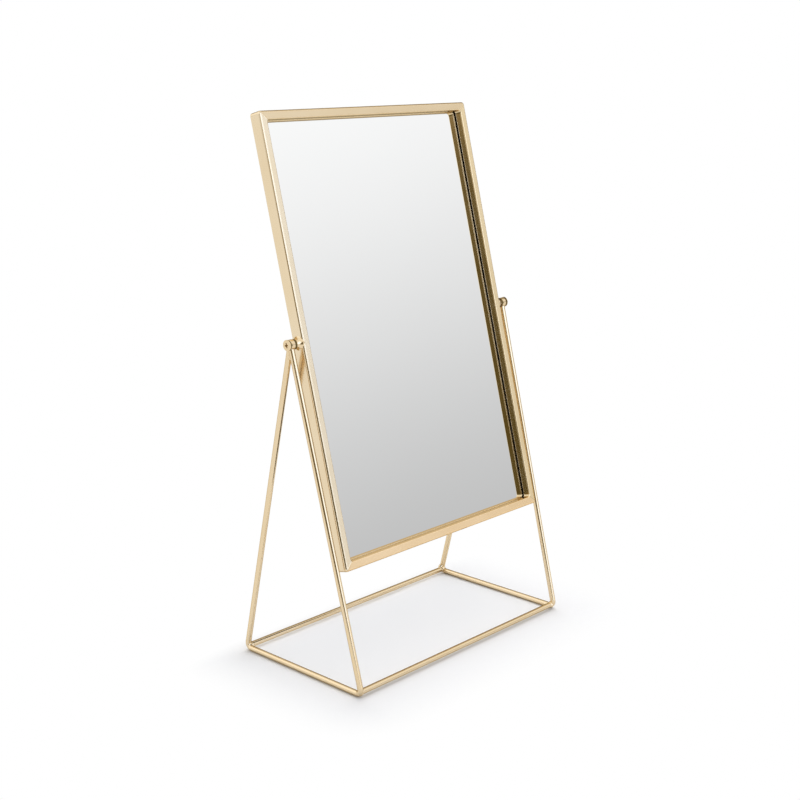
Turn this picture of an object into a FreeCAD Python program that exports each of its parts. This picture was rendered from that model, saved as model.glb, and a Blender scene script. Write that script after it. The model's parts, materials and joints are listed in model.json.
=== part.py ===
import FreeCAD
import Part
import math
import os

# A table-top standing mirror: a framed glass that tips between two A-shaped wire sides.
# Lengths are in millimetres. X runs across the mirror, -Y is the front and +Z is up.
# The origin lies on the table, midway between the side wires and right under the tipping axis.

# Overall sizes
FRAME_WIDTH = 200.0
FRAME_HEIGHT = 304.0
AXIS_HEIGHT = 230.0         # tipping axis above the table
AXIS_ABOVE_MIDDLE = 1.2     # tipping axis above the middle of the frame
BASE_DEPTH = 115.0          # between the wire's front and rear corners, before they are rounded
TILT_DEGREES = 14.0         # how far the top of the mirror leans back at rest

# Stand wire
WIRE_DIAMETER = 4.0
BEND_RADIUS = 3.5           # at the wire's centre line
LEG_LEAN = 3.1              # a side wire is this much further out at its eye than on the table
CROSS_BAR_HEIGHT = 3.4      # of its centre line above the table
CROSS_BAR_CHAMFER = 0.3
WELD_GAP = 0.05             # between pieces that a weld holds

# Frame bars of folded steel: a hollow box in front, and a fin that carries on its outer side to the rear
BAR_FACE = 6.0              # width of the face seen from the front
BAR_SHOULDER = 5.5          # depth of the inner side, where the glass rests behind it
BAR_WALL = 0.8
OUTER_EDGE_RADIUS = 1.8     # of the front edge all round the outside
INNER_EDGE_RADIUS = 0.9     # of the front edge round the opening
REAR_EDGE_RADIUS = 0.5      # of the shoulder, next to the glass
FIN_EDGE_RADIUS = 0.3
OUTER_CORNER_RADIUS = 2.2   # where the welded corner is ground round
INNER_CORNER_RADIUS = 2.0   # where the weld fills the corner of the opening
MITRE_GAP = 0.1             # seam between two bars

# Gasket, glass, back panel and sealant, from front to back behind the shoulder
GASKET_THICKNESS = 1.0
GASKET_SETBACK = 1.4        # the gasket's inner edge lies this far behind the shoulder's inner side
GLASS_THICKNESS = 1.5
GLASS_EDGE_CHAMFER = 0.3
GLASS_GAP = 0.4             # between the fin and the edge of gasket, glass and panel
PANEL_THICKNESS = 0.8
BEAD_WIDTH = 1.8            # of the sealant, on the panel
BEAD_TOP_WIDTH = 0.4
BEAD_HEIGHT = 0.5
BEAD_BELOW_FIN = 0.1        # the fin stands this far past the sealant

# Pivots, outwards from the side of the frame
BUSH_LENGTH = 3.65          # of its flare, outside the frame
BUSH_WALL = 0.65            # round the thread, where the bush is pressed through the wall of the frame
BUSH_FOOT_RIM = 2.0         # how far the flare's wide end stands out past that, against the frame
BUSH_TIP_RIM = 0.4          # how far its narrow end does
BUSH_FIT = 0.05
INNER_WASHER_THICKNESS = 1.3
OUTER_WASHER_THICKNESS = 1.1
WASHER_RIM = 1.4
EYE_LENGTH = 3.4
EYE_WALL = 1.45
EYE_CHAMFER = 0.4
RUNNING_GAP = 0.05          # between sliding faces, and round the screw in the eye
SCREW_DIAMETER = 4.0
SCREW_TIP_CHAMFER = 0.5
SCREW_TIP_INSET = 0.3       # the screw's tip stops this far inside the end of the bush
HEAD_OVERHANG = 1.7         # how far the head stands out past the shank
HEAD_RIM_HEIGHT = 0.3       # straight side of the head, under its dome
HEAD_DOME_HEIGHT = 0.3
RECESS_LENGTH = 3.4
RECESS_WIDTH = 1.0
RECESS_DEPTH = 1.3
THREAD_GAP = 0.05           # between the screw and the pieces that it goes through

# Cuts that run past a face run past it by this
OVERRUN = 2.0

# Two directions within this angle, in radians, count as parallel
SAME_ANGLE = 1e-6

# Places worked out from the sizes above, on the upright frame with the tipping axis at zero
wire_radius = WIRE_DIAMETER / 2
frame_side = FRAME_WIDTH / 2
frame_top = FRAME_HEIGHT / 2 - AXIS_ABOVE_MIDDLE
frame_bottom = frame_top - FRAME_HEIGHT
frame_middle = (frame_top + frame_bottom) / 2

bar_depth = (BAR_SHOULDER + GASKET_THICKNESS + GLASS_THICKNESS + PANEL_THICKNESS
             + BEAD_HEIGHT + BEAD_BELOW_FIN)
bar_front = -bar_depth / 2
bar_rear = bar_depth / 2
fin_edge_radius = min(FIN_EDGE_RADIUS, BAR_WALL / 3)
shoulder = bar_front + BAR_SHOULDER
glass_front = shoulder + GASKET_THICKNESS
glass_rear = glass_front + GLASS_THICKNESS
panel_rear = glass_rear + PANEL_THICKNESS
bead_rear = panel_rear + BEAD_HEIGHT

opening_width = FRAME_WIDTH - 2 * BAR_FACE
opening_height = FRAME_HEIGHT - 2 * BAR_FACE
rebate_width = FRAME_WIDTH - 2 * BAR_WALL
rebate_height = FRAME_HEIGHT - 2 * BAR_WALL
rebate_corner = OUTER_CORNER_RADIUS - BAR_WALL
glass_width = rebate_width - 2 * GLASS_GAP
glass_height = rebate_height - 2 * GLASS_GAP
glass_corner = rebate_corner - GLASS_GAP

thread_bore = SCREW_DIAMETER + 2 * THREAD_GAP
bush_shank = thread_bore + 2 * BUSH_WALL
bush_foot = bush_shank + 2 * BUSH_FOOT_RIM
bush_tip = bush_shank + 2 * BUSH_TIP_RIM
washer_diameter = thread_bore + 2 * WASHER_RIM
eye_bore = SCREW_DIAMETER + 2 * RUNNING_GAP
eye_diameter = eye_bore + 2 * EYE_WALL
head_diameter = SCREW_DIAMETER + 2 * HEAD_OVERHANG

bush_end = frame_side - BAR_WALL + BUSH_FIT
inner_washer_start = frame_side + BUSH_LENGTH
eye_start = inner_washer_start + INNER_WASHER_THICKNESS + RUNNING_GAP
outer_washer_start = eye_start + EYE_LENGTH + RUNNING_GAP
head_start = outer_washer_start + OUTER_WASHER_THICKNESS
head_top = head_start + HEAD_RIM_HEIGHT + HEAD_DOME_HEIGHT

apex_side = eye_start + EYE_LENGTH / 2
base_side = apex_side - LEG_LEAN

# Directions
ORIGIN = FreeCAD.Vector(0, 0, 0)
ACROSS = FreeCAD.Vector(1, 0, 0)
BACK = FreeCAD.Vector(0, 1, 0)
UP = FreeCAD.Vector(0, 0, 1)


def block(low_x, high_x, low_y, high_y, low_z, high_z):
    """A box between two corners."""
    corner = FreeCAD.Vector(low_x, low_y, low_z)
    return Part.makeBox(high_x - low_x, high_y - low_y, high_z - low_z, corner)


def rod(diameter, start_x, end_x, at_y=0, at_z=0):
    """A round rod along X."""
    start = FreeCAD.Vector(start_x, at_y, at_z)
    return Part.makeCylinder(diameter / 2, end_x - start_x, start, ACROSS)


def collar(outer, inner, start_x, end_x):
    """A round collar along X, centred on the tipping axis."""
    hole = rod(inner, start_x - OVERRUN, end_x + OVERRUN)
    return rod(outer, start_x, end_x).cut(hole)


def panel(width, height, front, rear):
    """A flat rectangular panel, centred in the frame."""
    return block(-width / 2, width / 2, front, rear, frame_middle - height / 2, frame_middle + height / 2)


def rounded_panel(width, height, front, rear, corner):
    """A flat panel with rounded corners, centred in the frame."""
    flat = panel(width, height, front, rear)
    return flat.makeFillet(corner, edges_along(flat, BACK))


def round_edges(shape, diameter):
    """The circular edges of a shape that have a given diameter."""
    circles = [edge for edge in shape.Edges if isinstance(edge.Curve, Part.Circle)]
    return [edge for edge in circles if math.isclose(edge.Curve.Radius, diameter / 2)]


def edges_along(shape, direction):
    """The straight edges of a shape that run along a direction."""
    lines = [edge for edge in shape.Edges if isinstance(edge.Curve, Part.Line)]
    return [edge for edge in lines if edge.Curve.Direction.isParallel(direction, SAME_ANGLE)]


def face_towards(shape, direction):
    """The face of a block that lies furthest along a direction."""
    return max(shape.Faces, key=lambda face: face.CenterOfMass.dot(direction))


def flipped(shape):
    """The left-hand twin of a right-hand piece."""
    return shape.mirror(ORIGIN, ACROSS)


def raised(shape):
    """A piece that was made about the tipping axis, raised to the axis's height."""
    placed = shape.copy()
    placed.translate(UP * AXIS_HEIGHT)
    return placed


def tipped(shape):
    """A piece of the mirror head, leaned back about the tipping axis and raised to its height."""
    placed = shape.copy()
    placed.rotate(ORIGIN, ACROSS, -TILT_DEGREES)
    return raised(placed)


class RearBend:
    """The rear bend of the right-hand side wire, as points on the wire's centre line."""

    def __init__(self):
        self.apex = FreeCAD.Vector(apex_side, 0, AXIS_HEIGHT)
        self.floor_middle = FreeCAD.Vector(base_side, 0, wire_radius)
        corner = FreeCAD.Vector(base_side, BASE_DEPTH / 2, wire_radius)
        to_apex = (self.apex - corner).normalize()
        to_floor = (self.floor_middle - corner).normalize()
        bisector = (to_apex + to_floor).normalize()
        half_angle = to_apex.getAngle(to_floor) / 2
        setback = BEND_RADIUS / math.tan(half_angle)
        self.leg_end = corner + to_apex * setback
        self.floor_end = corner + to_floor * setback
        centre = corner + bisector * (BEND_RADIUS / math.sin(half_angle))
        self.middle = centre - bisector * BEND_RADIUS
        # The cross bar meets the bend where the bend has risen to the bar's height
        down = (centre.z - CROSS_BAR_HEIGHT) / BEND_RADIUS
        outward = -to_floor * BEND_RADIUS
        self.cross_bar = centre + (self.floor_end - centre) * down + outward * math.sqrt(1 - down ** 2)


def side_wire():
    """Floor bar, two bends and two legs of one round wire, its ends joined under the eye."""
    bend = RearBend()
    leg = Part.LineSegment(bend.apex, bend.leg_end).toShape()
    turn = Part.Arc(bend.leg_end, bend.middle, bend.floor_end).toShape()
    floor = Part.LineSegment(bend.floor_end, bend.floor_middle).toShape()
    section = Part.makeCircle(wire_radius, bend.apex, bend.leg_end - bend.apex)
    rear_half = Part.Wire([leg, turn, floor]).makePipeShell([Part.Wire(section)], True, False)
    inner_x = base_side - WIRE_DIAMETER
    outer_x = apex_side + WIRE_DIAMETER
    front_room = block(inner_x, outer_x, -BASE_DEPTH, 0, AXIS_HEIGHT / 2, AXIS_HEIGHT + WIRE_DIAMETER)
    rear_half = rear_half.cut(front_room)
    whole = rear_half.fuse(rear_half.mirror(ORIGIN, BACK)).removeSplitter()
    eye_room = raised(rod(eye_diameter + 2 * WELD_GAP, inner_x, outer_x))
    room_above = block(inner_x, outer_x, -BASE_DEPTH, BASE_DEPTH, AXIS_HEIGHT, AXIS_HEIGHT + WIRE_DIAMETER)
    return whole.cut(eye_room.fuse(room_above))


def cross_bar(facing):
    """A straight wire between the two bends at the back (1) or at the front (-1)."""
    spot = RearBend().cross_bar
    end = spot.x - wire_radius - WELD_GAP
    bar = rod(WIRE_DIAMETER, -end, end, facing * spot.y, spot.z)
    return bar.makeChamfer(CROSS_BAR_CHAMFER, round_edges(bar, WIRE_DIAMETER))


def pivot_eye():
    """The barrel that the pivot screw turns in, welded on top of the two legs."""
    barrel = collar(eye_diameter, eye_bore, eye_start, eye_start + EYE_LENGTH)
    return raised(barrel.makeChamfer(EYE_CHAMFER, round_edges(barrel, eye_diameter)))


def opening_edges(face):
    """The edges round the hole in a face."""
    holes = [wire for wire in face.Wires if not wire.isSame(face.OuterWire)]
    return [edge for wire in holes for edge in wire.Edges]


def front_box():
    """The part of the frame in front of the shoulder, all round, with the edges that show rounded."""
    whole = rounded_panel(FRAME_WIDTH, FRAME_HEIGHT, bar_front, shoulder, OUTER_CORNER_RADIUS)
    opening = rounded_panel(opening_width, opening_height, bar_front - OVERRUN, shoulder + OVERRUN,
                            INNER_CORNER_RADIUS)
    box = whole.cut(opening)
    box = box.makeFillet(OUTER_EDGE_RADIUS, face_towards(box, -BACK).OuterWire.Edges)
    box = box.makeFillet(INNER_EDGE_RADIUS, opening_edges(face_towards(box, -BACK)))
    return box.makeFillet(REAR_EDGE_RADIUS, opening_edges(face_towards(box, BACK)))


def fin():
    """The thin wall that carries on from the frame's outer side to the rear, all round."""
    whole = rounded_panel(FRAME_WIDTH, FRAME_HEIGHT, shoulder, bar_rear, OUTER_CORNER_RADIUS)
    rebate = rounded_panel(rebate_width, rebate_height, shoulder - OVERRUN, bar_rear + OVERRUN,
                           rebate_corner)
    wall = whole.cut(rebate)
    return wall.makeFillet(fin_edge_radius, face_towards(wall, BACK).Edges)


def frame_ring():
    """The whole frame before it is parted at its mitres, with the hollow inside its bars."""
    front = bar_front + BAR_WALL
    rear = shoulder - BAR_WALL
    inside = panel(opening_width + 2 * BAR_WALL, opening_height + 2 * BAR_WALL,
                   front - OVERRUN, rear + OVERRUN)
    hollow = rounded_panel(rebate_width, rebate_height, front, rear, rebate_corner).cut(inside)
    return front_box().fuse(fin()).cut(hollow).removeSplitter()


def between_mitres(length, reach, turn_degrees):
    """The room of one bar in the frame: along X at the top, then turned to its side of the frame."""
    depth = BAR_FACE + INNER_CORNER_RADIUS
    tip = length / 2 - MITRE_GAP / math.sqrt(2)
    outer = reach / 2
    corners = [(-tip - OVERRUN, outer + OVERRUN), (tip + OVERRUN, outer + OVERRUN),
               (tip - depth, outer - depth), (depth - tip, outer - depth), (-tip - OVERRUN, outer + OVERRUN)]
    outline = Part.makePolygon([FreeCAD.Vector(x, bar_front - OVERRUN, z) for x, z in corners])
    room = Part.Face(outline).extrude(BACK * (bar_depth + 2 * OVERRUN))
    room.rotate(ORIGIN, BACK, turn_degrees)
    room.translate(UP * frame_middle)
    return room


def frame_rail(ring, turn_degrees):
    """The top or bottom bar of the frame."""
    return tipped(ring.common(between_mitres(FRAME_WIDTH, FRAME_HEIGHT, turn_degrees)))


def frame_stile(ring):
    """The right-hand bar of the frame, with the hole that its pivot bush is pressed into."""
    stile = ring.common(between_mitres(FRAME_HEIGHT, FRAME_WIDTH, 90))
    hole = rod(bush_shank + 2 * BUSH_FIT, frame_side - BAR_WALL, frame_side + OVERRUN)
    return tipped(stile.cut(hole))


def glass_gasket():
    """A flat black frame of foam between the bars' shoulder and the glass."""
    whole = rounded_panel(glass_width, glass_height, shoulder, glass_front, glass_corner)
    window = panel(opening_width + 2 * GASKET_SETBACK, opening_height + 2 * GASKET_SETBACK,
                   shoulder - OVERRUN, glass_front + OVERRUN)
    return tipped(whole.cut(window))


def mirror_glass():
    """The silvered glass, with a small ground chamfer round its front edge."""
    glass = rounded_panel(glass_width, glass_height, glass_front, glass_rear, glass_corner)
    return tipped(glass.makeChamfer(GLASS_EDGE_CHAMFER, face_towards(glass, -BACK).Edges))


def back_panel():
    """The sheet that closes the back of the frame."""
    return tipped(rounded_panel(glass_width, glass_height, glass_rear, panel_rear, glass_corner))


def rectangle(width, height, at_y):
    """The outline of a panel, as a closed wire."""
    right = width / 2
    top = frame_middle + height / 2
    bottom = frame_middle - height / 2
    corners = [(-right, bottom), (right, bottom), (right, top), (-right, top), (-right, bottom)]
    return Part.makePolygon([FreeCAD.Vector(x, at_y, z) for x, z in corners])


def sealant_bead():
    """A sloping bead in the corner between the back panel and the fin, all the way round."""
    whole = rounded_panel(rebate_width, rebate_height, panel_rear, bead_rear, rebate_corner)
    low = rectangle(rebate_width - 2 * BEAD_WIDTH, rebate_height - 2 * BEAD_WIDTH, panel_rear)
    high = rectangle(rebate_width - 2 * BEAD_TOP_WIDTH, rebate_height - 2 * BEAD_TOP_WIDTH, bead_rear)
    return tipped(whole.cut(Part.makeLoft([low, high], True, True)))


def bush_flare():
    """The bush outside the frame: one hollow arc from its wide foot to its narrow end, level there."""
    foot = bush_foot / 2
    end = bush_tip / 2
    arc_radius = (BUSH_LENGTH ** 2 + (foot - end) ** 2) / (2 * (foot - end))
    half_turn = math.asin(BUSH_LENGTH / arc_radius) / 2
    middle_x = inner_washer_start - arc_radius * math.sin(half_turn)
    middle_y = end + arc_radius * (1 - math.cos(half_turn))
    arc_points = [FreeCAD.Vector(x, y, 0) for x, y in
                  ((frame_side, foot), (middle_x, middle_y), (inner_washer_start, end))]
    corners = [arc_points[2], ACROSS * inner_washer_start, ACROSS * frame_side, arc_points[0]]
    outline = Part.Wire([Part.Arc(*arc_points).toShape()] + Part.makePolygon(corners).Edges)
    return Part.Face(outline).revolve(ORIGIN, ACROSS, 360)


def bush_skirt():
    """The rim of the bush's foot in front of the frame's rounded edge, shaped to that edge."""
    reach = bush_foot / 2
    inner_x = frame_side - OUTER_EDGE_RADIUS
    front_room = block(inner_x, frame_side, -reach, 0, -reach, reach)
    return rod(bush_foot, inner_x, frame_side).common(front_room).cut(front_box())


def pivot_bush():
    """A threaded bush that flares out to the frame, with a shank pressed through the frame's wall."""
    shank = rod(bush_shank, bush_end, frame_side)
    thread = rod(thread_bore, bush_end - OVERRUN, inner_washer_start + OVERRUN)
    return tipped(bush_flare().fuse([bush_skirt(), shank]).removeSplitter().cut(thread))


def washer(start, thickness):
    """A thin ring on the pivot screw."""
    return tipped(collar(washer_diameter, thread_bore, start, start + thickness))


def screw_head():
    """A straight rim, then one arc up to the middle."""
    radius = head_diameter / 2
    rim = head_start + HEAD_RIM_HEIGHT
    arc_points = [FreeCAD.Vector(x, y, 0) for x, y in ((rim, -radius), (head_top, 0), (rim, radius))]
    dome = Part.Arc(*arc_points)
    side = Part.makePolygon([FreeCAD.Vector(x, y, 0) for x, y in
                             ((rim, radius), (head_start, radius), (head_start, -radius), (rim, -radius))])
    outline = Part.Wire([dome.toShape()] + side.Edges)
    half_room = block(head_start - OVERRUN, head_top + OVERRUN, -head_diameter, 0, -OVERRUN, OVERRUN)
    return Part.Face(outline).cut(half_room).revolve(ORIGIN, ACROSS, 360)


def cross_recess():
    """The room that a cross-point screwdriver takes, from above the head down into the shank."""
    floor = head_top - RECESS_DEPTH
    half_long = RECESS_LENGTH / 2
    half_wide = RECESS_WIDTH / 2
    upright_slot = block(floor, head_top + OVERRUN, -half_wide, half_wide, -half_long, half_long)
    level_slot = block(floor, head_top + OVERRUN, -half_long, half_long, -half_wide, half_wide)
    return upright_slot.fuse(level_slot)


def pivot_screw():
    """A pan-head screw with a cross recess: the axle at one side of the mirror."""
    shank = rod(SCREW_DIAMETER, bush_end + SCREW_TIP_INSET, head_start)
    tip = [edge for edge in round_edges(shank, SCREW_DIAMETER) if edge.CenterOfMass.x < frame_side]
    shank = shank.makeChamfer(SCREW_TIP_CHAMFER, tip)
    return tipped(shank.fuse(screw_head()).removeSplitter().cut(cross_recess()))


def stand():
    """The pieces that stay still, by name."""
    wire = side_wire()
    eye = pivot_eye()
    return {
        "left_side_wire": flipped(wire),
        "right_side_wire": wire,
        "front_cross_bar": cross_bar(-1),
        "rear_cross_bar": cross_bar(1),
        "left_pivot_eye": flipped(eye),
        "right_pivot_eye": eye,
    }


def frame():
    """The four bars of the frame, by name."""
    ring = frame_ring()
    stile = frame_stile(ring)
    return {
        "frame_top_rail": frame_rail(ring, 0),
        "frame_bottom_rail": frame_rail(ring, 180),
        "frame_left_stile": flipped(stile),
        "frame_right_stile": stile,
    }


def filling():
    """What lies behind the frame's shoulder, by name."""
    return {
        "glass_gasket": glass_gasket(),
        "mirror_glass": mirror_glass(),
        "back_panel": back_panel(),
        "rear_sealant_bead": sealant_bead(),
    }


def pivots():
    """The pieces on each pivot screw that tip with the mirror, by name."""
    right_hand = {
        "pivot_bush": pivot_bush(),
        "inner_washer": washer(inner_washer_start, INNER_WASHER_THICKNESS),
        "outer_washer": washer(outer_washer_start, OUTER_WASHER_THICKNESS),
        "pivot_screw": pivot_screw(),
    }
    pieces = {}
    for name, shape in right_hand.items():
        pieces["left_" + name] = flipped(shape)
        pieces["right_" + name] = shape
    return pieces


os.makedirs("parts", exist_ok=True)
for group in (stand(), frame(), filling(), pivots()):
    for name, shape in group.items():
        shape.exportStep("parts/" + name + ".step")
        print(name, "volume", round(shape.Volume, 1), "valid", shape.isValid(), "solids", len(shape.Solids))
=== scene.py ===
# %% [markdown]
# # A gold standing mirror
# The real object is a table mirror: a glass in a slim satin gold frame, which tips between two sides of
# bent wire. Its solids come from CAD and are already the right shape and size, so they stay as they are.
# This lesson dresses them: it sets up the camera and the studio, makes the finishes from nodes, and adds
# the welds, ridges and rolled lip that a drawing leaves out but a maker's hand leaves behind.

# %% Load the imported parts
import bpy
import json
import math
from mathutils import Matrix, Vector


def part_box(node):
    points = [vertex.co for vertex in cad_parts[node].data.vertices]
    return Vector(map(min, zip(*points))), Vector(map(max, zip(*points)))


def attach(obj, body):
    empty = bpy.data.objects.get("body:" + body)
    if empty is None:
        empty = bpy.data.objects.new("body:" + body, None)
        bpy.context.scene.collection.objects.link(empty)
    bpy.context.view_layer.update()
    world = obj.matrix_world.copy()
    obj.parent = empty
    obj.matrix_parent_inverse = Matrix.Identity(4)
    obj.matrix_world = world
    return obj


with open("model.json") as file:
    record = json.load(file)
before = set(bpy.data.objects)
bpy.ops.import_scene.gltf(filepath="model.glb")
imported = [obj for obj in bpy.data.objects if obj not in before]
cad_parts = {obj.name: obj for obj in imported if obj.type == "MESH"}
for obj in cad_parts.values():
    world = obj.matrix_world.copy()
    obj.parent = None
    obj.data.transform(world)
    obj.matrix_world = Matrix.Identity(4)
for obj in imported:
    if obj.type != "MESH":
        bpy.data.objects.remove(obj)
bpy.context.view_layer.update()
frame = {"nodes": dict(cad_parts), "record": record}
parts = frame["nodes"]

# %% [markdown]
# ## Camera
# The photograph was taken from the left and a little above, with a lens of medium length.
# The camera could be placed by eye, but four wires and a rectangle give plenty of straight lines to measure,
# so its place, its turn and its lens come from fitting those lines. The small lean is part of that fit.

# %% Camera at the photograph's viewing angle
camera_place = Vector((-0.6909, -0.6540, 0.4094))
turn_right = math.radians(46.378)
look_down = math.radians(13.912)
lean = -0.007
sensor_width_mm, lens_mm = 36.0, 62.19

camera_data = bpy.data.cameras.new("photo_camera")
camera_data.sensor_width = sensor_width_mm
camera_data.lens = lens_mm
camera = bpy.data.objects.new("photo_camera", camera_data)
bpy.context.scene.collection.objects.link(camera)
camera.matrix_world = (Matrix.Translation(camera_place) @ Matrix.Rotation(-turn_right, 4, "Z")
                       @ Matrix.Rotation(math.pi / 2 - look_down, 4, "X") @ Matrix.Rotation(lean, 4, "Z"))
bpy.context.scene.camera = camera
bpy.context.scene.view_settings.view_transform = "Standard"

# %% [markdown]
# ## Node helpers
# A finish is a small tree of nodes. A few helpers keep the trees readable: one adds a node and sets its
# sockets, one joins two sockets, two do sums, one makes a soft change and one blends two colours. Nodes could
# also be made by hand in the Shader Editor, where they look the same.

# %% Helpers for node trees
def add_node(tree, kind, settings=None, **sockets):
    node = tree.nodes.new(kind)
    for name, value in (settings or {}).items():
        setattr(node, name, value)
    for name, value in sockets.items():
        node.inputs[name.replace("_", " ")].default_value = value
    return node


def join(tree, output, socket):
    tree.links.new(output, socket)


def calc(tree, operation, first, second, clamp=False):
    """A Math node on sockets or plain numbers. Gives its output."""
    node = add_node(tree, "ShaderNodeMath", {"operation": operation, "use_clamp": clamp})
    for place, value in enumerate((first, second)):
        if isinstance(value, (int, float)):
            node.inputs[place].default_value = value
        else:
            join(tree, value, node.inputs[place])
    return node.outputs[0]


def vector_calc(tree, operation, first, second=None, output="Vector"):
    """A Vector Math node on sockets or plain vectors. Gives one of its outputs."""
    node = add_node(tree, "ShaderNodeVectorMath", {"operation": operation})
    for place, value in enumerate((first, second)):
        if isinstance(value, tuple):
            node.inputs[place].default_value = value
        elif value is not None:
            join(tree, value, node.inputs[place])
    return node.outputs[output]


print("sums ready")

# %% Helpers for soft changes
def soft_step(tree, value, start, end, low=0.0, high=1.0):
    """A smooth change from low to high while a value goes from start to end. Gives its output."""
    node = add_node(tree, "ShaderNodeMapRange", {"interpolation_type": "SMOOTHSTEP"},
                    From_Min=start, From_Max=end, To_Min=low, To_Max=high)
    join(tree, value, node.inputs["Value"])
    return node.outputs["Result"]


def blend_colours(tree, factor, low, high):
    """A colour between two, each a socket or plain red, green and blue. Gives its output."""
    mix = add_node(tree, "ShaderNodeMix", {"data_type": "RGBA"})
    join(tree, factor, mix.inputs["Factor"])
    colour_sockets = [socket for socket in mix.inputs if socket.type == "RGBA"]
    for socket, value in zip(colour_sockets, (low, high)):
        if isinstance(value, tuple):
            socket.default_value = (*value, 1)
        else:
            join(tree, value, socket)
    return [socket for socket in mix.outputs if socket.type == "RGBA"][0]


print("soft changes ready")

# %% [markdown]
# ## Studio surroundings
# Polished things show the room more than themselves. The photograph's room is white behind the mirror.
# It falls off to grey at the level of the table on the right, where the glass looks, has a bright panel in
# front and a warm dark behind on the right. Where the camera stands it is dark: a low wide skyline with
# a taller part, such as a row of lamp stands makes. Lamps alone leave the glass black, so the world carries
# this room: a few soft shapes, each round one direction that a ray can take.

# %% Shapes for the room
world = bpy.data.worlds.new("studio")
bpy.context.scene.world = world
world.use_nodes = True
room = world.node_tree
room.nodes.clear()
direction = add_node(room, "ShaderNodeTexCoord").outputs["Generated"]
split = add_node(room, "ShaderNodeSeparateXYZ")
join(room, direction, split.inputs[0])
height = split.outputs["Z"]


def towards(turn, rise=0):
    """A direction of length 1, from degrees to the right of the front and degrees above the table."""
    turn, rise = math.radians(turn), math.radians(rise)
    return (math.sin(turn) * math.cos(rise), -math.cos(turn) * math.cos(rise), math.sin(rise))


def near(cosine, inner, outer):
    """1 within some degrees of a direction and softly 0 further out, from the cosine of the angle to it."""
    return soft_step(room, cosine, math.cos(math.radians(outer)), math.cos(math.radians(inner)))


def patch(turn, rise, inner, outer):
    """1 round one direction, and softly 0 further out."""
    return near(vector_calc(room, "DOT_PRODUCT", direction, towards(turn, rise), "Value"), inner, outer)


def skyline(turn, inner, outer, rise, top):
    """1 from the table up to a rise, within some degrees of a turn, and softly 0 further out and up."""
    level_direction = vector_calc(room, "NORMALIZE", vector_calc(room, "MULTIPLY", direction, (1, 1, 0)))
    beside = near(vector_calc(room, "DOT_PRODUCT", level_direction, towards(turn), "Value"), inner, outer)
    upwards = soft_step(room, height, math.sin(math.radians(top)), math.sin(math.radians(rise)))
    return calc(room, "MULTIPLY", beside, upwards)


print("room shapes ready")

# %% The room's colours
grey_at_table, white_above, extra_overhead, extra_behind = 0.52, 1.0, 0.1, 0.25
grey_up_to, white_from, overhead_from, overhead_full = -0.07, 0.3685, 0.25, 0.8
corner_tone, corner_share = (0.30, 0.23, 0.10), 0.85
front_panel_tone = (1.56, 1.80, 2.32)
warm_tone, dark_tone = (0.52, 0.41, 0.24), (0.120, 0.095, 0.034)
warm_skyline = (dict(turn=-45, inner=28, outer=40, rise=8, top=13),
                dict(turn=-48, inner=9, outer=15, rise=16, top=22))
dark_skyline = (dict(turn=-45, inner=22, outer=32, rise=5, top=10),
                dict(turn=-48, inner=5, outer=10, rise=14, top=19))

level = calc(room, "ADD", soft_step(room, height, grey_up_to, white_from, grey_at_table, white_above),
             soft_step(room, height, overhead_from, overhead_full, 0.0, extra_overhead))
white_behind = patch(turn=-140, rise=15, inner=20, outer=60)
level = calc(room, "ADD", level, calc(room, "MULTIPLY", white_behind, extra_behind))
warm_corner = calc(room, "MULTIPLY", patch(turn=122, rise=22, inner=18, outer=48), corner_share)
room_colour = blend_colours(room, warm_corner, level, corner_tone)
front_panel = patch(turn=3, rise=15, inner=22, outer=38)
room_colour = blend_colours(room, front_panel, room_colour, front_panel_tone)
for tone, (low_part, tall_part) in ((warm_tone, warm_skyline), (dark_tone, dark_skyline)):
    camera_side = calc(room, "MAXIMUM", skyline(**low_part), skyline(**tall_part))
    room_colour = blend_colours(room, camera_side, room_colour, tone)
print("room colours", len(room.nodes), "nodes")

# %% [markdown]
# ## White backdrop
# The backdrop has to be plain white to the eye, without throwing more light on the mirror. Light Path does
# that: the rays that look straight at the world see white, and so do the ones that metal or glass sends to
# the low backdrop behind the object. What lights the matt parts is the room, turned down, because lamps give
# the rest.

# %% World
def looking_rays(tree):
    """1 for rays that look straight, and 1 for rays by way of metal or glass."""
    path = add_node(tree, "ShaderNodeLightPath")
    glossy, through = path.outputs["Is Glossy Ray"], path.outputs["Is Transmission Ray"]
    return path.outputs["Is Camera Ray"], calc(tree, "ADD", glossy, through, clamp=True)


matt_loss = 0.63
backdrop_top, backdrop_full = 0.08, 0.02
straight, mirrored = looking_rays(room)
low_behind = calc(room, "MULTIPLY", patch(turn=-140, rise=0, inner=40, outer=70),
                  soft_step(room, height, backdrop_top, backdrop_full))
white_share = calc(room, "ADD", straight, calc(room, "MULTIPLY", mirrored, low_behind), clamp=True)
surround = add_node(room, "ShaderNodeBackground")
join(room, room_colour, surround.inputs["Color"])
matt_rays = add_node(room, "ShaderNodeLightPath").outputs["Is Diffuse Ray"]
strength = calc(room, "SUBTRACT", 1.0, calc(room, "MULTIPLY", matt_rays, matt_loss))
join(room, strength, surround.inputs["Strength"])
white = add_node(room, "ShaderNodeBackground", Color=(1, 1, 1, 1))
pick = add_node(room, "ShaderNodeMixShader")
join(room, white_share, pick.inputs[0])
join(room, surround.outputs[0], pick.inputs[1])
join(room, white.outputs[0], pick.inputs[2])
join(room, pick.outputs[0], add_node(room, "ShaderNodeOutputWorld").inputs["Surface"])
print("world", len(room.nodes), "nodes")

# %% [markdown]
# ## Floor
# The mirror stands on a pale sheet that runs off into white. A real sheet does this with a curve at the back.
# Here one flat plane is shaded as paper near the object, so that it takes the contact shadows, and turns
# into plain white further out for the rays that look at it, soonest behind the base. The real sheet ends
# a metre or so in front, where the dark room starts: the round edges of the metal show that, so mirrored rays
# find the floor dark out there.

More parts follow.
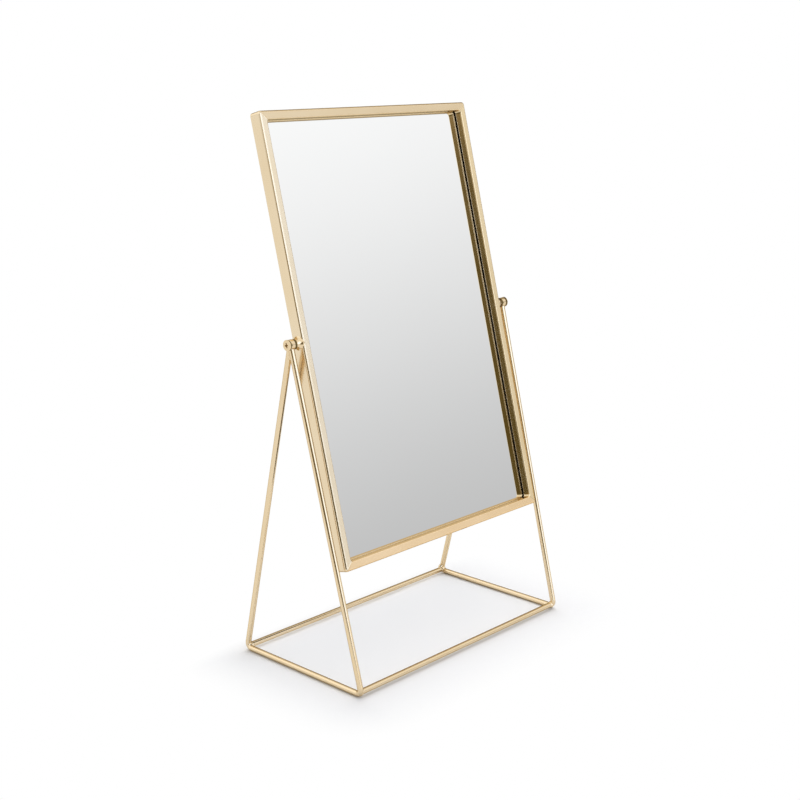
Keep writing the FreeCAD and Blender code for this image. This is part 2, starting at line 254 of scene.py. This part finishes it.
# %% Floor plane
def clean_selection():
    bpy.ops.object.select_all(action="DESELECT")


floor_size = 20.0
clean_selection()
bpy.ops.mesh.primitive_plane_add(size=floor_size, location=(0, 0, 0))
floor = bpy.context.object
floor.name = "floor"
print("floor", tuple(floor.dimensions))

# %% Floor paper
base_half_size = (0.1036, 0.055, 0)
white_reach, dark_start, dark_end = 0.060, 0.6, 1.2
paper_colour, paper_roughness = (0.88, 0.88, 0.885, 1), 0.9
sooner_behind = (0, 2, 0)
to_camera, dark_edge, dark_core = (-0.707, -0.707, 0), 0.80, 0.92

paper = bpy.data.materials.new("floor_paper")
paper.use_nodes = True
tree = paper.node_tree
tree.nodes.clear()
place = add_node(tree, "ShaderNodeTexCoord").outputs["Object"]
outside = vector_calc(tree, "SUBTRACT", vector_calc(tree, "ABSOLUTE", place), base_half_size)
outside = vector_calc(tree, "MAXIMUM", outside, (0, 0, 0))
behind = vector_calc(tree, "MULTIPLY", vector_calc(tree, "SUBTRACT", place, base_half_size), sooner_behind)
behind = vector_calc(tree, "MAXIMUM", behind, (0, 0, 0))
reach = vector_calc(tree, "LENGTH", vector_calc(tree, "ADD", outside, behind), output="Value")
far = soft_step(tree, reach, 0.0, white_reach)
straight, mirrored = looking_rays(tree)
seen = calc(tree, "ADD", straight, mirrored, clamp=True)
in_front = vector_calc(tree, "DOT_PRODUCT", vector_calc(tree, "NORMALIZE", place), to_camera, "Value")
ended = calc(tree, "MULTIPLY", soft_step(tree, in_front, dark_edge, dark_core),
             soft_step(tree, reach, dark_start, dark_end))
sheet = add_node(tree, "ShaderNodeBsdfPrincipled", Base_Color=paper_colour, Roughness=paper_roughness)
glow = add_node(tree, "ShaderNodeEmission", Strength=1.0)
glow_colour = blend_colours(tree, calc(tree, "MULTIPLY", ended, mirrored), (1.0, 1.0, 1.0), dark_tone)
join(tree, glow_colour, glow.inputs["Color"])
blend = add_node(tree, "ShaderNodeMixShader")
join(tree, calc(tree, "MULTIPLY", far, seen), blend.inputs[0])
join(tree, sheet.outputs[0], blend.inputs[1])
join(tree, glow.outputs[0], blend.inputs[2])
join(tree, blend.outputs[0], add_node(tree, "ShaderNodeOutputMaterial").inputs["Surface"])
floor.data.materials.append(paper)
print("floor paper", len(tree.nodes), "nodes")

# %% [markdown]
# ## Lamps
# Two large soft panels light the floor. One stands behind the mirror on the right and draws the shadows out
# towards the viewer. The other hangs nearly overhead and darkens the floor right under the wires. One panel
# alone would leave a bright line between a wire and its shadow. Both are kept out of reflections, as flags in
# front of real panels would do, because the gold shows no bright patch from there. In the photograph only
# the wires throw a shadow, and the rear bar throws a faint one, so light linking names the pieces that block
# each panel.

# %% Lamps
lamp_target = Vector((0, 0, 0.05))


def soft_panel(name, at, size, watts, blockers):
    data = bpy.data.lights.new(name, "AREA")
    data.shape = "DISK"
    data.size = size
    data.energy = watts
    lamp = bpy.data.objects.new(name, data)
    bpy.context.scene.collection.objects.link(lamp)
    lamp.location = at
    lamp.rotation_euler = (lamp_target - Vector(at)).to_track_quat("-Z", "Y").to_euler()
    lamp.visible_glossy = False
    shadows = bpy.data.collections.new(name + "_shadows")
    for blocker in blockers:
        shadows.objects.link(parts[blocker])
    lamp.light_linking.blocker_collection = shadows
    print(name, watts, "W, blocked by", len(blockers), "pieces")


wires = frame["record"]["behaviour"]["bodies"]["stand"]
all_but_rear_bar = [wire for wire in wires if wire != "rear_cross_bar"]
soft_panel("back_panel_lamp", at=(2.25, 2.00, 2.10), size=5.0, watts=100.0, blockers=all_but_rear_bar)
soft_panel("overhead_lamp", at=(0.9, 0.2, 3.6), size=4.0, watts=60.0, blockers=wires)

# %% [markdown]
# ## Shared effects
# Every finish here has the same few ingredients at its own scale: a fine grain, lines left by drawing or
# brushing, a slow drift of tone over the hand's width, and a few specks. Each is a node group, built once,
# that gives out only a value which changes over the surface. Sizes go in as metres, so a group first turns
# them into the scale that a texture wants.

# %% Grain and drift
def effect_group(name, sizes, outputs):
    """An empty group with a vector and some sizes going in and some values coming out."""
    group = bpy.data.node_groups.new(name, "ShaderNodeTree")
    group.interface.new_socket("Vector", in_out="INPUT", socket_type="NodeSocketVector")
    for socket, value in sizes.items():
        made = group.interface.new_socket(socket, in_out="INPUT", socket_type="NodeSocketFloat")
        made.default_value = value
    for socket in outputs:
        group.interface.new_socket(socket, in_out="OUTPUT", socket_type="NodeSocketFloat")
    return group, add_node(group, "NodeGroupInput").outputs, add_node(group, "NodeGroupOutput").inputs


def noise_on(tree, vector, scale, detail, roughness):
    noise = add_node(tree, "ShaderNodeTexNoise", Detail=detail, Roughness=roughness)
    join(tree, vector, noise.inputs["Vector"])
    if isinstance(scale, (int, float)):
        noise.inputs["Scale"].default_value = scale
    else:
        join(tree, scale, noise.inputs["Scale"])
    return noise.outputs["Fac"]


def spread(tree, noise, low=0.0, high=1.0):
    """Noise stays near its middle. This spreads it over the whole way from low to high."""
    return soft_step(tree, noise, 0.3, 0.7, low, high)


fine_grain, given, result = effect_group("fine_grain", {"Size": 0.0004}, ["Height"])
scale = calc(fine_grain, "DIVIDE", 1.0, given["Size"])
join(fine_grain, noise_on(fine_grain, given["Vector"], scale, detail=3.0, roughness=0.6), result["Height"])

slow_drift, given, result = effect_group("slow_drift", {"Size": 0.05}, ["Tone"])
scale = calc(slow_drift, "DIVIDE", 1.0, given["Size"])
join(slow_drift, noise_on(slow_drift, given["Vector"], scale, detail=2.0, roughness=0.5), result["Tone"])
print("effect groups", fine_grain.name, slow_drift.name)

# %% Drawn lines
broad_streaks = 0.22
drawn_lines, given, result = effect_group(
    "drawn_lines", {"Length": 0.03, "Width": 0.0003}, ["Height", "Streaks"])
stretch = add_node(drawn_lines, "ShaderNodeCombineXYZ")
for axis, size in (("X", "Length"), ("Y", "Width"), ("Z", "Width")):
    join(drawn_lines, calc(drawn_lines, "DIVIDE", 1.0, given[size]), stretch.inputs[axis])
drawn = vector_calc(drawn_lines, "MULTIPLY", given["Vector"], stretch.outputs[0])
join(drawn_lines, noise_on(drawn_lines, drawn, 1.0, detail=2.0, roughness=0.5), result["Height"])
join(drawn_lines, noise_on(drawn_lines, drawn, broad_streaks, detail=2.0, roughness=0.6), result["Streaks"])
print("effect group", drawn_lines.name)

# %% Specks
speck_edge, speck_core = 0.10, 0.03
specks, given, result = effect_group("specks", {"Spacing": 0.004, "Amount": 0.3}, ["Mask"])
cells = add_node(specks, "ShaderNodeTexVoronoi")
join(specks, given["Vector"], cells.inputs["Vector"])
join(specks, calc(specks, "DIVIDE", 1.0, given["Spacing"]), cells.inputs["Scale"])
dot = soft_step(specks, cells.outputs["Distance"], speck_edge, speck_core)
chance = add_node(specks, "ShaderNodeSeparateColor")
join(specks, cells.outputs["Color"], chance.inputs[0])
kept = calc(specks, "LESS_THAN", chance.outputs[0], given["Amount"])
join(specks, calc(specks, "MULTIPLY", dot, kept), result["Mask"])
print("effect group", specks.name)

# %% [markdown]
# ## Gold finishes
# The stand is steel wire under a satin gold plating, drawn through a die, so its faint lines run along the
# wire. The frame is brushed along each bar, which spreads a reflection across the bar: that is why the two
# bars of a mitre catch the light differently. Each bar also gets a tint of its own, which is painted
# reflection:
# cooler on the left stile, paler on the bottom rail and warmer on the right stile, as their faces reflect the
# room.
# Their front faces are satin, and their sides and rounded edges are smoother, as if the brush never reached
# them. One recipe makes every gold: a metal whose colour, roughness and bump follow lines, drift and specks.
# Its edge colour is darker than its face, which draws the fine dark line along every round edge.

# %% Start of a finish
def use_group(tree, group, vector, **sockets):
    node = add_node(tree, "ShaderNodeGroup")
    node.node_tree = group
    for name, value in sockets.items():
        node.inputs[name].default_value = value
    join(tree, vector, node.inputs["Vector"])
    return node.outputs


def new_finish(name, turn=(0, 0, 0)):
    """A material, its tree, its shader and its pattern vector, turned so that X runs along the piece."""
    material = bpy.data.materials.new(name)
    material.use_nodes = True
    tree = material.node_tree
    shader = tree.nodes["Principled BSDF"]
    mapping = add_node(tree, "ShaderNodeMapping", {"vector_type": "TEXTURE"}, Rotation=turn)
    join(tree, add_node(tree, "ShaderNodeTexCoord").outputs["Object"], mapping.inputs["Vector"])
    return material, tree, shader, mapping.outputs["Vector"]


def add_bump(tree, shader, height, depth):
    bump = add_node(tree, "ShaderNodeBump", Distance=depth)
    join(tree, height, bump.inputs["Height"])
    join(tree, bump.outputs["Normal"], shader.inputs["Normal"])


print("finish helpers ready")

# %% Gold recipe
pale_gold, deep_gold = (0.805, 0.652, 0.435), (0.778, 0.615, 0.388)
edge_tone = (0.62, 0.51, 0.33, 1)
drift_size, speck_spacing, speck_amount = 0.035, 0.006, 0.25
streak_share, drift_share = 0.3, 0.7


def gold_finish(name, smooth, rough, line_length, line_width, line_depth, turn=(0, 0, 0), tint=(1, 1, 1)):
    material, tree, shader, vector = new_finish(name, turn)
    lines = use_group(tree, drawn_lines, vector, Length=line_length, Width=line_width)
    drift = use_group(tree, slow_drift, vector, Size=drift_size)
    dots = use_group(tree, specks, vector, Spacing=speck_spacing, Amount=speck_amount)
    tone = calc(tree, "ADD", calc(tree, "MULTIPLY", lines["Streaks"], streak_share),
                calc(tree, "MULTIPLY", drift["Tone"], drift_share))
    tone = calc(tree, "SUBTRACT", spread(tree, tone), dots["Mask"], clamp=True)
    low, high = (tuple(c * t for c, t in zip(colour, tint)) for colour in (deep_gold, pale_gold))
    join(tree, blend_colours(tree, tone, low, high), shader.inputs["Base Color"])
    shader.inputs["Metallic"].default_value = 1.0
    shader.inputs["Specular Tint"].default_value = edge_tone
    join(tree, spread(tree, drift["Tone"], smooth, rough), shader.inputs["Roughness"])
    add_bump(tree, shader, lines["Height"], line_depth)
    return material


gold_wire = gold_finish("gold_wire", smooth=0.14, rough=0.18,
                        line_length=0.012, line_width=0.0002, line_depth=0.000002)
gold_hardware = gold_finish("gold_hardware", smooth=0.12, rough=0.17,
                            line_length=0.002, line_width=0.0002, line_depth=0.000002)
print("gold finishes", gold_wire.name, gold_hardware.name)

# %% Brushed gold for each bar of the frame
tilt = math.radians(14.0)
frame_front = (0, -math.cos(tilt), math.sin(tilt))
satin_extra, satin_edge, satin_core = 0.27, 0.80, 0.98
brushing, quarter_turn = 0.5, 0.25
# painted reflection: each bar's tint shifts its gold towards what its face reflects in the room
painted_reflection_tints = {"top_rail": (1, 1, 1), "bottom_rail": (1.10, 1.03, 0.96),
             "left_stile": (1.015, 1.045, 1.10), "right_stile": (1.01, 0.985, 0.885)}


def brush_along(material, bar_direction):
    """Spreads reflections across a bar. The direction of the bar turns with the piece."""
    tree = material.node_tree
    shader = tree.nodes["Principled BSDF"]
    shader.inputs["Anisotropic"].default_value = brushing
    shader.inputs["Anisotropic Rotation"].default_value = quarter_turn
    along = add_node(tree, "ShaderNodeVectorTransform", Vector=bar_direction, settings={
        "vector_type": "VECTOR", "convert_from": "OBJECT", "convert_to": "WORLD"})
    join(tree, along.outputs[0], shader.inputs["Tangent"])
    surface = add_node(tree, "ShaderNodeTexCoord").outputs["Normal"]
    facing = vector_calc(tree, "DOT_PRODUCT", surface, frame_front, "Value")
    polished = shader.inputs["Roughness"].links[0].from_socket
    satin = calc(tree, "ADD", polished, soft_step(tree, facing, satin_edge, satin_core, 0.0, satin_extra))
    join(tree, satin, shader.inputs["Roughness"])


gold_bars = {}
for bar, tint in painted_reflection_tints.items():
    lying = bar.endswith("rail")
    turn = (0, 0, 0) if lying else (tilt, -math.pi / 2, 0)
    finish = gold_finish("gold_" + bar, smooth=0.11, rough=0.15,
                         line_length=0.030, line_width=0.00015, line_depth=0.0000015, turn=turn, tint=tint)
    brush_along(finish, (1, 0, 0) if lying else (0, math.sin(tilt), math.cos(tilt)))
    gold_bars["frame_" + bar] = finish
print("gold bars", [finish.name for finish in gold_bars.values()])

# %% [markdown]
# ## Silvered glass
# A mirror is a sheet of glass with silver behind it. Seen from the front it acts as one nearly perfect
# reflector, so a smooth metal of a cool grey does the work. A clear sheet over a second, silver one would do
# too, but it doubles every edge. A trace of haze keeps it from looking computed.

# %% Silvered glass
haze_size = 0.09
dull_silver, clear_silver = (0.950, 0.955, 0.955), (0.965, 0.970, 0.970)
clearest, haziest = 0.004, 0.018
haze_start, haze_full = 0.35, 0.75

silvered_glass, tree, shader, vector = new_finish("silvered_glass")
haze = use_group(tree, slow_drift, vector, Size=haze_size)
join(tree, blend_colours(tree, haze["Tone"], dull_silver, clear_silver), shader.inputs["Base Color"])
dullness = soft_step(tree, haze["Tone"], haze_start, haze_full, clearest, haziest)
join(tree, dullness, shader.inputs["Roughness"])
shader.inputs["Metallic"].default_value = 1.0
print("glass", silvered_glass.name)

# %% [markdown]
# ## Dark finishes
# The washers are dark bronze, a colour that is painted shade: it stands in for the shaded groove between the
# screw head, the eye and the frame. The back is a grained sheet, the gasket is foam and the bead round the back
# is sealant. They are all dark, so what tells them apart is their texture and how they shine. One recipe with
# different grain does for all four.

# %% Dark finishes
drift_in_grains = 40


def dark_finish(name, low, high, smooth, rough, grain, depth, metal=0.0):
    material, tree, shader, vector = new_finish(name)
    fine = use_group(tree, fine_grain, vector, Size=grain)
    drift = use_group(tree, slow_drift, vector, Size=grain * drift_in_grains)
    join(tree, blend_colours(tree, drift["Tone"], low, high), shader.inputs["Base Color"])
    join(tree, spread(tree, fine["Height"], smooth, rough), shader.inputs["Roughness"])
    shader.inputs["Metallic"].default_value = metal
    add_bump(tree, shader, fine["Height"], depth)
    return material


# painted shade: the washers' dark bronze colour stands in for the shade in the groove round each pivot
dark_bronze = dark_finish("dark_bronze", low=(0.150, 0.102, 0.034), high=(0.220, 0.157, 0.062),
                          smooth=0.28, rough=0.42, grain=0.0003, depth=0.00001, metal=1.0)
back_sheet = dark_finish("back_sheet", low=(0.035, 0.035, 0.036), high=(0.055, 0.054, 0.053),
                         smooth=0.45, rough=0.70, grain=0.0006, depth=0.00008)
black_foam = dark_finish("black_foam", low=(0.014, 0.010, 0.004), high=(0.026, 0.019, 0.008),
                         smooth=0.85, rough=1.00, grain=0.0005, depth=0.00015)
black_sealant = dark_finish("black_sealant", low=(0.018, 0.018, 0.018), high=(0.035, 0.034, 0.033),
                            smooth=0.28, rough=0.40, grain=0.0025, depth=0.00012)
print("dark finishes", dark_bronze.name, back_sheet.name, black_foam.name, black_sealant.name)

# %% [markdown]
# ## Dress the parts
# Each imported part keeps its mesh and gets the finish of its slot. The frame's bars share a slot, but each has
# its own turn and tone of that finish.

# %% Dress the parts
finish_of_slot = {
    "gold_wire": gold_wire, "gold_hardware": gold_hardware,
    "silvered_glass": silvered_glass, "dark_bronze": dark_bronze, "back_sheet": back_sheet,
    "black_foam": black_foam, "black_sealant": black_sealant,
}
for row in frame["record"]["subparts"]:
    finish = gold_bars.get(row["node"]) or finish_of_slot[row["material_slot"]]
    parts[row["node"]].data.materials.clear()
    parts[row["node"]].data.materials.append(finish)

# %% [markdown]
# ## Welds on the stand
# The cross bars butt against the bent corners, and the legs meet under each eye. A welder leaves a small lump
# of metal there, plated over with the rest. A lump could be sculpted. A squashed ball whose points are shaken
# a little and then smoothed gives the same uneven skin, and each copy is turned and sized differently. At two
# corners the photograph shows a longer weld that fills the corner, above one bar and below the other.

# %% One weld bead
bead_radius, bead_unevenness, bead_squash = 0.0023, 0.0009, 0.85
clean_selection()
bpy.ops.mesh.primitive_uv_sphere_add(segments=16, ring_count=10, radius=bead_radius, location=(0, 0, 0))
bead = bpy.context.object
bead.name = "weld_bead"
bpy.ops.object.mode_set(mode="EDIT")
bpy.ops.mesh.select_all(action="SELECT")
bpy.ops.transform.vertex_random(offset=bead_unevenness, seed=4)
bpy.ops.mesh.vertices_smooth(factor=0.5, repeat=2)
bpy.ops.transform.resize(value=(bead_squash, 1.0, 1.0))
bpy.ops.object.mode_set(mode="OBJECT")
rounding = bead.modifiers.new("rounding", "SUBSURF")
rounding.levels = rounding.render_levels = 1
bpy.ops.object.modifier_apply(modifier="rounding")
bpy.ops.object.shade_smooth()
bead.data.materials.append(gold_wire)
print("weld bead", len(bead.data.vertices), "points")

# %% Helpers for copies
def turned(degrees, axis):
    return Matrix.Rotation(math.radians(degrees), 4, axis)


def placed_copy(piece, name, matrix):
    """A copy with a mesh of its own, its place and turn taken up by the mesh."""
    copy = piece.copy()
    copy.data = piece.data.copy()
    copy.name = name
    bpy.context.scene.collection.objects.link(copy)
    clean_selection()
    copy.matrix_world = matrix
    copy.select_set(True)
    bpy.context.view_layer.objects.active = copy
    bpy.ops.object.transform_apply(location=True, rotation=True, scale=True)
    return copy


def ride_and_slot(piece, body):
    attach(piece, body)


def bar_end(corner, inset=0.0, rise=0.0):
    """A spot at one end of a cross bar, moved in along the bar and up from its middle line."""
    bar, side = corner.split("_")
    bar_low, bar_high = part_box(bar + "_cross_bar")
    middle = (Vector(bar_low) + Vector(bar_high)) / 2
    outwards = -1 if side == "left" else 1
    return Vector((outwards * (bar_high[0] - inset), middle.y, middle.z + rise))


print("copy helpers ready")

# %% Welds at the corners
corner_welds = {"front_left": (1.00, 20), "front_right": (1.15, 140),
                "rear_left": (1.12, 250), "rear_right": (1.19, 75)}
for corner, (size, turn) in corner_welds.items():
    matrix = Matrix.Translation(bar_end(corner)) @ turned(turn, "X") @ Matrix.Scale(size, 4)
    ride_and_slot(placed_copy(bead, corner + "_weld", matrix), "stand")
print("corner welds", len(corner_welds))

# %% Welds under the eyes
below_eye = 0.0040
eye_weld_size = (0.95, 0.55, 1.75, 1)
eye_welds = {"left": 30, "right": 200}
for side, turn in eye_welds.items():
    eye_low, eye_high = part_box(side + "_pivot_eye")
    spot = Vector(((eye_low[0] + eye_high[0]) / 2, 0, eye_low[2] - below_eye))
    matrix = Matrix.Translation(spot) @ Matrix.Diagonal(eye_weld_size) @ turned(turn, "X")
    ride_and_slot(placed_copy(bead, side + "_eye_weld", matrix), "stand")
print("eye welds", len(eye_welds))

# %% Longer welds that fill a corner
long_welds = {"front_left": (bar_end("front_left", inset=-0.0009, rise=-0.0013), -10, (1.75, 0.80, 0.55, 1)),
              "rear_right": (bar_end("rear_right", inset=0.0012, rise=0.0026), -45, (1.35, 0.75, 0.60, 1))}
for corner, (spot, turn, size) in long_welds.items():
    matrix = Matrix.Translation(spot) @ turned(turn, "Y") @ Matrix.Diagonal(size)
    ride_and_slot(placed_copy(bead, corner + "_long_weld", matrix), "stand")
bpy.data.objects.remove(bead)
print("long welds", len(long_welds))

# %% [markdown]
# ## Ridges on the mitres
# The frame's bars are welded where they meet and ground flat. The grinder leaves a faint ridge on the
# diagonal, which catches the light as a thin line. One ridge is drawn out of a flat oval: along the diagonal
# first, then spun over the rounded outer edge. Then it is copied to all four corners and leaned back with
# the frame.

# %% One ridge
front_face, edge_radius, round_over = -0.0047, 0.0018, math.radians(70)
ridge_run, ridge_half_width, ridge_height = 0.00577, 0.00040, 0.00009
clean_selection()
bpy.ops.mesh.primitive_circle_add(vertices=12, radius=ridge_half_width, location=(0, front_face, 0),
                                  rotation=(0, math.pi / 2, 0))
ridge = bpy.context.object
ridge.name = "mitre_ridge"
bpy.ops.object.transform_apply(location=True, rotation=True, scale=True)
bpy.ops.object.mode_set(mode="EDIT")
bpy.ops.mesh.select_all(action="SELECT")
bpy.ops.transform.resize(value=(1, ridge_height / ridge_half_width, 1), center_override=(0, front_face, 0))
bpy.ops.mesh.edge_face_add()
bpy.ops.mesh.extrude_region_move(TRANSFORM_OT_translate={"value": (ridge_run, 0, 0)})
bpy.ops.mesh.spin(steps=8, angle=round_over, axis=(0, 0, 1),
                  center=(ridge_run, front_face + edge_radius, 0))
bpy.ops.mesh.select_all(action="SELECT")
bpy.ops.mesh.remove_doubles(threshold=0.000001)
bpy.ops.mesh.normals_make_consistent(inside=False)
bpy.ops.object.mode_set(mode="OBJECT")
bpy.ops.object.shade_smooth_by_angle(angle=math.radians(50))
ridge.data.materials.append(gold_hardware)
ridge_reach = max(v.co.x for v in ridge.data.vertices)
print("ridge", len(ridge.data.vertices), "points, reaches", round(1000 * ridge_reach, 2), "mm")

# %% Ridges at the four mitres
opening_half_width, opening_half_height = 0.094, 0.146
axis_above_middle = 0.0012
tipping_axis = Vector(frame["record"]["behaviour"]["joints"][0]["pos_m"])
leaned = Matrix.Translation(tipping_axis) @ Matrix.Rotation(-tilt, 4, "X")
frame_middle = Vector((0, 0, -axis_above_middle))
mitres = {"top_right": (1, 1, -45), "top_left": (-1, 1, -135),
          "bottom_left": (-1, -1, 135), "bottom_right": (1, -1, 45)}
for corner, (across, up, turn) in mitres.items():
    inner_corner = frame_middle + Vector((across * opening_half_width, 0, up * opening_half_height))
    matrix = leaned @ Matrix.Translation(inner_corner) @ turned(turn, "Y")
    ride_and_slot(placed_copy(ridge, corner + "_mitre_ridge", matrix), "mirror_head")
bpy.data.objects.remove(ridge)
print("ridges", len(mitres))

# %% [markdown]
# ## Rolled lip round the glass
# The frame's bars are folded from thin steel, and the fold ends in a small rolled lip next to the glass. It
# shows as a fine bright line on each side of the dark gap: once for real and once in the mirror. A lip could
# be a wire of its own in each bar. Here one rectangle with rounded corners is turned into a curve, given
# a round section and made into a mesh again, so that it runs round the corners without a seam.

# %% Rolled lip
lip_radius, lip_sink, lip_depth, corner_radius = 0.0003, 0.0002, 0.0002, 0.002
clean_selection()
bpy.ops.mesh.primitive_plane_add(size=1.0, location=(0, lip_depth, 0), rotation=(math.pi / 2, 0, 0))
lip = bpy.context.object
lip.name = "rolled_lip"
lip.scale = (2 * (opening_half_width + lip_sink), 2 * (opening_half_height + lip_sink), 1)
bpy.ops.object.transform_apply(location=True, rotation=True, scale=True)
bpy.ops.object.mode_set(mode="EDIT")
bpy.ops.mesh.select_all(action="SELECT")
bpy.ops.mesh.bevel(offset=corner_radius + lip_sink, segments=8, affect="VERTICES")
bpy.ops.mesh.select_all(action="SELECT")
bpy.ops.mesh.delete(type="ONLY_FACE")
bpy.ops.object.mode_set(mode="OBJECT")
bpy.ops.object.convert(target="CURVE")
lip.data.bevel_depth = lip_radius
lip.data.bevel_resolution = 3
bpy.ops.object.convert(target="MESH")
bpy.ops.object.shade_smooth()
lip.matrix_world = leaned @ Matrix.Translation(frame_middle)
bpy.ops.object.transform_apply(location=True, rotation=True, scale=True)
lip.data.materials.clear()
lip.data.materials.append(gold_hardware)
ride_and_slot(lip, "mirror_head")
print("rolled lip", len(lip.data.vertices), "points")
